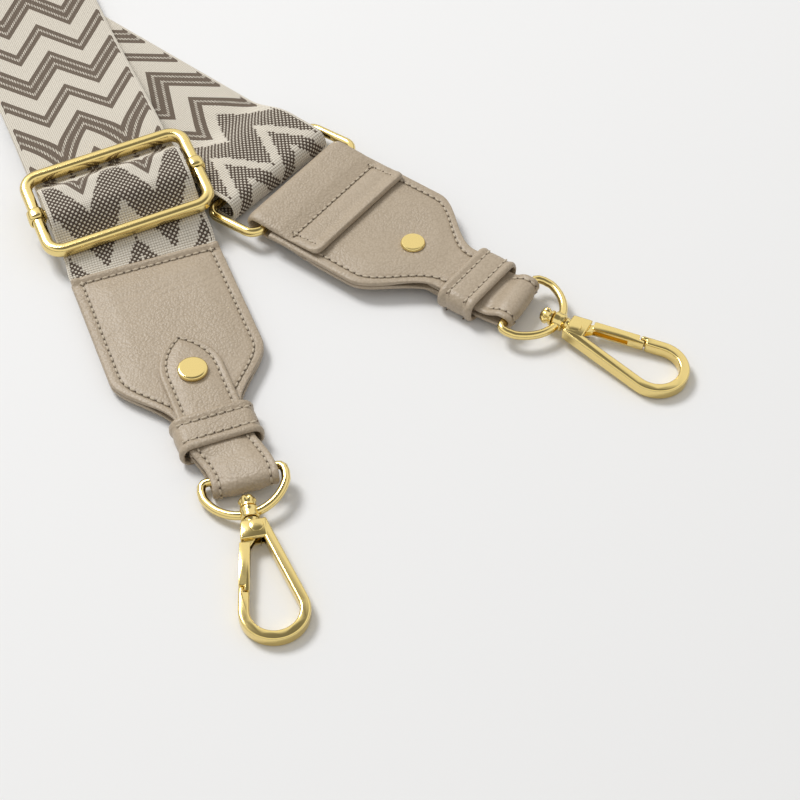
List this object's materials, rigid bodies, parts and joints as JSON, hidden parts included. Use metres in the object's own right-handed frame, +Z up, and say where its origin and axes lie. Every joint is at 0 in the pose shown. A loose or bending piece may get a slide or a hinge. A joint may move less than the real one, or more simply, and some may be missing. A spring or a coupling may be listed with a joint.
{
  "type": "detachable bag strap",
  "caption": "Detachable bag strap of doubled webbing in a zigzag weave, with a slider, a link ring and leather ends that carry swivel hooks.",
  "frame": {"origin": "centre of the outer face of the slider end's rivet back, on the floor that the strap lies on", "axes": "+Z up, away from the floor; the doubled webbing runs from the slider end towards -X and +Y, and the slider end's hook lies towards -Y"},
  "size_m": [0.3288, 0.3961, 0.0544],
  "materials": {
    "webbing": "jacquard weave in cream and brown",
    "leather": "fine grain, satin",
    "leather_lining": "smooth, satin",
    "gold_metal": "polished light gold plate",
    "spring_steel": "drawn wire"
  },
  "bodies": {
    "strap": {"webbing": "webbing", "slider_end_front_leather": "leather", "slider_end_back_leather": "leather_lining", "slider_end_hook_strap": "leather", "slider_end_rivet_cap": "gold_metal", "slider_end_rivet_back": "gold_metal"},
    "slider": {"slider_frame": "gold_metal"},
    "slider_bar": {"slider_bar": "gold_metal"},
    "link_ring": {"link_ring": "gold_metal"},
    "ring_end_leather": {"ring_end_front_leather": "leather", "ring_end_back_leather": "leather_lining", "ring_end_hook_strap": "leather", "ring_end_rivet_cap": "gold_metal", "ring_end_rivet_back": "gold_metal"},
    "slider_end_keeper": {"slider_end_keeper": "leather"},
    "slider_end_d_ring": {"slider_end_d_ring": "gold_metal"},
    "slider_end_hook": {"slider_end_hook": "gold_metal", "slider_end_swivel_post": "gold_metal", "slider_end_gate_pin": "gold_metal", "slider_end_gate_spring": "spring_steel"},
    "slider_end_gate": {"slider_end_gate": "gold_metal"},
    "ring_end_keeper": {"ring_end_keeper": "leather"},
    "ring_end_d_ring": {"ring_end_d_ring": "gold_metal"},
    "ring_end_hook": {"ring_end_hook": "gold_metal", "ring_end_swivel_post": "gold_metal", "ring_end_gate_pin": "gold_metal", "ring_end_gate_spring": "spring_steel"},
    "ring_end_gate": {"ring_end_gate": "gold_metal"}
  },
  "joints": [
    {"name": "slider_slide", "type": "slide", "parent": "strap", "child": "slider", "axis": [-0.3795, 0.9252, 0], "range_m": [-0.004, 0.06], "deforming": ["webbing"]},
    {"name": "slider_bar_slide", "type": "slide", "parent": "slider", "child": "slider_bar", "axis": [-0.3788, 0.9236, 0.0593], "range_m": [-0.003, 0.003], "deforming": ["webbing"]},
    {"name": "link_ring_hinge", "type": "hinge", "parent": "strap", "child": "link_ring", "pos_m": [0.01818, 0.10356, 0.0053], "axis": [0.6004, 0.7997, 0], "range_deg": [-30, 90]},
    {"name": "ring_end_hinge", "type": "hinge", "parent": "link_ring", "child": "ring_end_leather", "pos_m": [0.03614, 0.09008, 0.00665], "axis": [0.6004, 0.7997, 0], "range_deg": [-75, 60]},
    {"name": "slider_end_keeper_slide", "type": "slide", "parent": "strap", "child": "slider_end_keeper", "axis": [0.3584, -0.9336, 0], "range_m": [-0.003, 0.002]},
    {"name": "slider_end_d_ring_hinge", "type": "hinge", "parent": "strap", "child": "slider_end_d_ring", "pos_m": [0.01873, -0.04294, 0.005], "axis": [0.9704, 0.1913, 0.1477], "range_deg": [-90, 90]},
    {"name": "slider_end_swivel", "type": "hinge", "parent": "slider_end_d_ring", "child": "slider_end_hook", "pos_m": [0.02202, -0.05909, 0.00433], "axis": [0.1992, -0.9791, -0.0407], "continuous": true},
    {"name": "slider_end_gate_hinge", "type": "hinge", "parent": "slider_end_hook", "child": "slider_end_gate", "pos_m": [0.02459, -0.0652, 0.00407], "axis": [0.0081, -0.0398, 0.9992], "range_deg": [0, 28], "stiffness_Nm_per_rad": 0.02, "springref_deg": -34.38, "deforming": ["slider_end_gate_spring"]},
    {"name": "ring_end_keeper_slide", "type": "slide", "parent": "ring_end_leather", "child": "ring_end_keeper", "axis": [0.7997, -0.6004, 0], "range_m": [-0.005, 0.003]},
    {"name": "ring_end_d_ring_hinge", "type": "hinge", "parent": "ring_end_leather", "child": "ring_end_d_ring", "pos_m": [0.11221, 0.03334, 0.0063], "axis": [-0.4909, -0.8712, 0], "range_deg": [-90, 90]},
    {"name": "ring_end_swivel", "type": "hinge", "parent": "ring_end_d_ring", "child": "ring_end_hook", "pos_m": [0.12656, 0.02525, 0.00531], "axis": [0.8696, -0.49, -0.0602], "continuous": true},
    {"name": "ring_end_gate_hinge", "type": "hinge", "parent": "ring_end_hook", "child": "ring_end_gate", "pos_m": [0.13157, 0.02094, 0.00491], "axis": [-0.0525, 0.0296, -0.9982], "range_deg": [0, 28], "stiffness_Nm_per_rad": 0.02, "springref_deg": -34.38, "deforming": ["ring_end_gate_spring"]}
  ]
}
